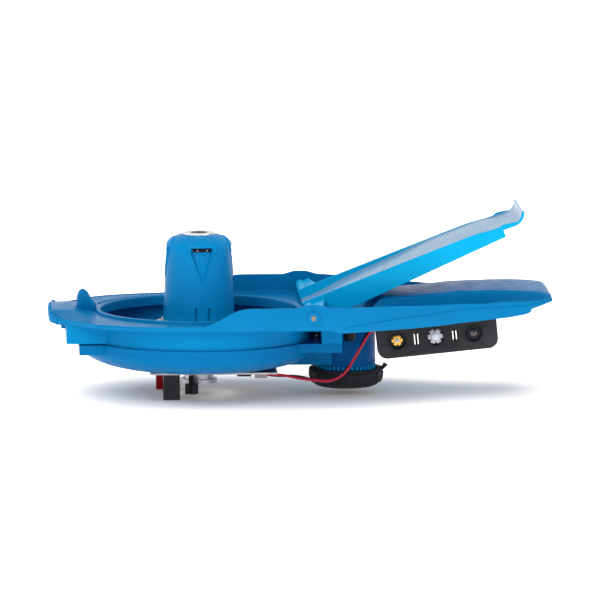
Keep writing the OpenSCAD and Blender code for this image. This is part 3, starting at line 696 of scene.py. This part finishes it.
def bar_turned(name, x, profile, slot, stands_for=(), steps=48, sharp=35, reach=None):
    """A closed profile of (radius, height out of the face) turned about a light's axis."""
    rings = []
    for k in range(steps):
        turn = 2 * math.pi * k / steps
        ring = []
        for r, out in profile:
            r = r * (reach(turn, r) if reach else 1)
            ring.append(on_bar(x + r * math.cos(turn), r * math.sin(turn), out))
        rings.append(ring)
    points, faces = skin(rings, closed=True)
    return piece(name, points, faces, slot, "chassis", stands_for, sharp)


def star(name, x, r, slot, node):
    """Round board with six notches between broad lobes."""
    def lobes(turn, radius):
        if radius < r * 0.6:
            return 1
        phase = ((turn + math.pi / 6) % (math.pi / 3)) - math.pi / 6
        return 1 - 0.36 * step(0.32, 0.42, abs(phase) / (math.pi / 3))
    profile = [(r * 0.2, -4.9), (r * 0.62, -4.9), (r, -4.9), (r, -3.5), (r * 0.97, -3.3),
               (r * 0.62, -3.3), (r * 0.2, -3.3)]
    bar_turned(name, x, profile, slot, (node,), 144, 50, lobes)


def lights():
    """The three boards, their domes and the rings round their recesses."""
    first, second, third = LIGHT_X
    star("gold_star_board", first, 6.9, "gold_board", "gold_led_board")
    star("silver_star_board", second, 9.9, "silver_board", "silver_led_board")
    bar_turned("dark_star_board", third, [(0.8, -4.9), (8, -4.9), (8, -3.6), (0.8, -3.4)], "dark_board",
               ("dark_led_board",))
    bar_turned("light_dome_1", first, [(0.05, -3.2), (2.5, -3.2), (2.5, -2.6), (2.0, -1.6), (1.1, -1.0),
                                       (0.05, -0.9)], "led_lens", ("led_chips",))
    bar_turned("light_dome_2", second, [(0.05, -3.2), (5.0, -3.2), (5.0, -2.4), (4.4, -1.5), (2.6, -0.9),
                                        (0.05, -0.8)], "led_lens")
    bar_turned("light_dome_3", third, [(0.05, -3.3), (5.4, -3.3), (5.2, -2.0), (3.9, -0.9), (1.9, -0.3),
                                       (0.05, -0.1)], "dark_lens")
    for number, x in enumerate(LIGHT_X):
        bar_turned("recess_ring_%d" % (number + 1), x, [(10.6, -0.4), (12.2, -0.4), (12.2, 0.15),
                                                        (11.7, 0.55), (11.0, 0.5), (10.6, 0.0)],
                   "black_plastic")


def strips():
    """Two pairs of bright strips between the lights, each a thin raised bar with round ends."""
    bars = []
    for x, tall in ((23.5, 6.6), (70.5, 5.6)):
        for dx in (-2.3, 1.7):
            rows = []
            for out, size in ((-1.6, 1.0), (0.3, 1.0), (0.7, 0.75)):
                outline = rounded([(-0.85 * size, -tall - 0.15 + size * 0.15, 0.7),
                                   (0.85 * size, -tall, 0.7), (0.85 * size, tall, 0.7),
                                   (-0.85 * size, tall, 0.7)], 4)
                rows.append([on_bar(x + dx + p.x, p.y, out) for p in outline])
            bars.append(skin(rows))
    piece("bright_strips", *together(bars), "strip_metal", "chassis", ("bar_strips",), 40)


lights()
strips()


# ---------------------------------------------------------------- battery neck and cap
CAP_TOP = (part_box("battery_cap")[1].z - RIM_Z) / MM
CAP_LOW = (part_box("battery_cap")[0].z - RIM_Z) / MM
NECK_X = (middle("battery_cells").x - AXIS.x) / MM


def cap():
    """Twist cap with a rounded foot and sixteen broad grip ribs."""
    outline = rounded([(0.05, CAP_LOW, 0.01), (36, CAP_LOW, 4), (42.4, CAP_LOW + 5, 5),
                       (44.8, CAP_LOW + 12, 4), (45, CAP_TOP, 1.2), (40.4, CAP_TOP, 0.6),
                       (40.2, CAP_LOW + 3.6, 1.5), (0.05, CAP_LOW + 3.4, 0.01)], 5)
    profile = [(p.x, p.y) for p in outline]

    def ribs(turn, index):
        r, z = profile[index]
        if r < 41 or z < CAP_LOW + 3:
            return 0
        wave = abs(math.sin(8 * turn))
        return 1.3 * step(0.93, 0.98, wave) - 0.5 * step(0.35, 0.0, wave)
    turned("twist_cap", profile, "black_plastic", "cap", ("battery_cap",), (NECK_X, 0), 256, ribs, 30)


def tether():
    """Soft ring round the neck over the cap, and its strap that curls up to a knob."""
    low = CAP_TOP + 0.4
    high = low + 2.9
    outline = rounded([(38.4, low, 0.8), (45.6, low, 1.4), (45.6, high, 1.4), (38.4, high, 0.8)], 4)
    turned("tether_band", [(p.x, p.y) for p in outline], "black_rubber", "chassis", ("tether_ring",),
           (NECK_X, 0), 160)
    rows = []
    for k in range(15):
        t = k / 14
        x = NECK_X + 41 + 7.5 * t
        z = low + 1.6 + 6.0 * t * t
        wide = 6.2 - 1.6 * t + 0.8 * step(0.7, 1, t)
        thick = 1.9 + 0.9 * step(0.7, 1, t)
        lean = math.atan(6.0 * 2 * t / 7.5)
        corners = [(-wide, -thick, 1.2), (wide, -thick, 1.2), (wide, thick, 1.2), (-wide, thick, 1.2)]
        ring = rounded(corners, 3)
        rows.append([at(x - p.y * math.sin(lean), -6 + p.x, z + p.y * math.cos(lean)) for p in ring])
    points, faces = skin(rows)
    piece("tether_strap", points, faces, "black_rubber", "chassis", (), 50)


def neck():
    """The neck's tube with a bead, and a ring of teeth near its foot in the lid's paler blue, a painted
    highlight on the teeth.
    """
    low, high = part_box("battery_neck")
    bottom, top = (low.z - RIM_Z) / MM, (high.z - RIM_Z) / MM
    outline = rounded([(33, bottom, 0.8), (35.7, bottom, 0.8), (35.9, bottom + 14, 1),
                       (36.6, bottom + 15, 0.6), (36.6, bottom + 17, 0.6), (36, bottom + 18, 0.6),
                       (36, top, 0.5), (33, top, 0.5)], 3)
    turned("neck_tube", [(p.x, p.y) for p in outline], "neck_blue", "chassis", ("battery_neck",),
           (NECK_X, 0), 160)
    teeth, count = [], 40
    for k in range(count):
        turn = 2 * math.pi * k / count
        middle_p = Vector((math.cos(turn), math.sin(turn)))
        side = Vector((-math.sin(turn), math.cos(turn)))
        rows = []
        for z, deep in ((bottom + 5.2, 0.2), (bottom + 5.8, 1.5), (bottom + 11.4, 1.5), (bottom + 12, 0.2)):
            row = []
            for across, out in ((-1.0, 35.2), (-0.8, 35.4 + deep), (0.8, 35.4 + deep), (1.0, 35.2)):
                p = middle_p * out + side * across
                row.append(at(NECK_X + p.x, p.y, z))
            rows.append(row)
        teeth.append(skin(rows))
    # painted highlight: the teeth take the lid's paler blue instead of the neck's blue
    piece("neck_teeth", *together(teeth), "lid_blue", "chassis", (), 30)


cap()
tether()
neck()


# ---------------------------------------------------------------- nose
def hook():
    """Leaf-shaped hook on the nose: a rounded outline that thins towards its edge and tip."""
    outline = rounded([(-150, 0, 2), (-150, 18.5, 4), (-147, 25.8, 3.5), (-142.4, 28.4, 3.5),
                       (-137.2, 25, 3), (-131.5, 15.5, 4), (-125.6, 9.6, 3), (-126.2, 1.8, 4),
                       (-131, -1.5, 3), (-140, -1.5, 3)], 6)
    rings = []
    for k in range(17):
        turn = math.radians(-86 + 172 * k / 16)
        inset = 3.6 * (1 - math.cos(turn) ** 0.8)
        row = []
        for i, p in enumerate(outline):
            way = (outline[(i + 1) % len(outline)] - outline[i - 1])
            inward = Vector((-way.y, way.x)).normalized() if way.length else Vector((0, 0))
            q = p - inward * inset
            row.append(at(q.x, 9.5 * math.sin(turn) * (1 - 0.4 * step(8, 28, p.y)), q.y))
        rings.append(row)
    points, faces = skin(rings)
    piece("hook", points, faces, "deck_blue", "chassis", ("nose_hook",), 60)


def comb():
    """Rounded ribs that step round the front edge of the nose, on a thin lip."""
    parts = []
    places = [(-180.7 + 0.2 * max(0, abs(8.6 * k) - 45), 8.6 * k, 3.4 + (2.4 if k % 2 else 0),
               3.4 if k % 2 else 4.3) for k in range(-7, 8)]
    for side in (-1, 1):
        places += [(-174.2, side * 66.5, 3.0, 3.8), (-169.4, side * 73, 1.6, 3.8),
                   (-163.6, side * 80, 1.0, 3.8)]
    for x, y, top, r in places:
        rows = []
        for z, size in ((-6.6, 0.8), (-6.0, 1), (top - 2.6, 1), (top - 1.2, 0.86), (top - 0.3, 0.55),
                        (top, 0.15)):
            rows.append([at(x + r * size * math.cos(2 * math.pi * j / 18),
                            y + r * size * math.sin(2 * math.pi * j / 18), z) for j in range(18)])
        parts.append(skin(rows))
    lip = rounded([(-183.6, -8.6, 1), (-184.2, -2.4, 1.4), (-174, -2.4, 1), (-174, -8.6, 1)], 4)
    rows = []
    for s in range(21):
        y = -60 + 6 * s
        back = 7.5 * (abs(y) / 60) ** 2
        rows.append([at(p.x + back, y, p.y) for p in lip])
    parts.append(skin(rows))
    piece("nose_ribs", *together(parts), "deck_blue", "chassis", ("nose_comb",), 50)


def rim_ribs():
    """Low ribs along the basin's rim, between the nose and the far side."""
    ribs = []
    for k in range(26):
        turn = math.radians(88 + 2.7 * k)
        rows = []
        for s in range(7):
            across = math.radians(-75 + 25 * s)
            half = 0.75 * math.sin(across) / 128
            ring = rounded([(127, 2.0, 0.4), (127.6, 4.3 - 1.1 * (1 - math.cos(across)), 0.9),
                            (134.5, 2.6 - 1.1 * (1 - math.cos(across)), 0.9), (135, -0.6, 0.3)], 3)
            rows.append([at(p.x * math.cos(turn + half), p.x * math.sin(turn + half), p.y) for p in ring])
        ribs.append(skin(rows))
    piece("rim_ribs", *together(ribs), "deck_blue", "chassis", (), 50)


hook()
comb()
rim_ribs()


# ---------------------------------------------------------------- leads
LEAD_R = 1.6
LEAD_GAP = 1.75                                  # half of the distance between the two leads, mm
LEAD_POINTS = 150                                # points along a lead's middle line
LEAD_ROUTE = [(80, -53, -73), (87, -53, -73.4), (98, -53, -74), (109, -53, -75), (122, -53, -77),
              (134, -53, -79.4), (144, -53, -81.2), (153, -53, -81.8), (160, -53, -80.4),
              (167, -53, -77), (174, -53, -72), (180, -53, -65.5), (185, -53, -58.5), (190, -53, -51),
              (194, -53, -43), (198, -53, -35), (202, -53, -27), (207, -53, -21), (213, -53, -18.8)]


def smooth_route(points, count):
    """Evenly spaced points on a smooth curve through the route's points."""
    dense = []
    for i in range(len(points) - 1):
        p0, p1, p2, p3 = (Vector(points[max(0, min(len(points) - 1, i + k))]) for k in (-1, 0, 1, 2))
        for k in range(24):
            t = k / 24
            dense.append(0.5 * (2 * p1 + (p2 - p0) * t + (2 * p0 - 5 * p1 + 4 * p2 - p3) * t * t
                                + (3 * p1 - p0 - 3 * p2 + p3) * t ** 3))
    dense.append(Vector(points[-1]))
    lengths = [0.0]
    for a, b in zip(dense, dense[1:]):
        lengths.append(lengths[-1] + (b - a).length)
    out, j = [], 0
    for k in range(count):
        want = lengths[-1] * k / (count - 1)
        while j < len(lengths) - 2 and lengths[j + 1] < want:
            j += 1
        t = (want - lengths[j]) / (lengths[j + 1] - lengths[j])
        out.append(dense[j].lerp(dense[j + 1], min(1, t)))
    return out


def lead(name, slot, node, side_of):
    """One lead of the pair, as a tube; side_of is -1 for the front one and 1 for the back one."""
    middle_line = smooth_route(LEAD_ROUTE, LEAD_POINTS)
    last = LEAD_POINTS - 1
    path = []
    for k, p in enumerate(middle_line):
        way = (middle_line[min(k + 1, last)] - middle_line[max(k - 1, 0)]).normalized()
        up = way.cross(Vector((0, 1, 0))).normalized()
        sway = math.radians(28) * math.sin(2 * math.pi * k / last * 3)
        q = p + (Vector((0, 1, 0)) * math.cos(sway) - up * math.sin(sway)) * (side_of * LEAD_GAP)
        path.append(at(q.x, q.y, q.z))
    rings = []
    for k, p in enumerate(path):
        way = (path[min(k + 1, last)] - path[max(k - 1, 0)]).normalized()
        side = Vector((0, 1, 0)) - way * way.y
        side.normalize()
        up = way.cross(side)
        rings.append([p + (side * math.cos(a) + up * math.sin(a)) * (LEAD_R * MM)
                      for a in (2 * math.pi * j / 14 for j in range(14))])
    points, faces = skin(rings)
    obj = piece(name, points, faces, slot, "chassis", (node,), 60)


lead("red_lead", "red_wire", "red_wire", -1)
lead("black_lead", "black_wire", "black_wire", 1)
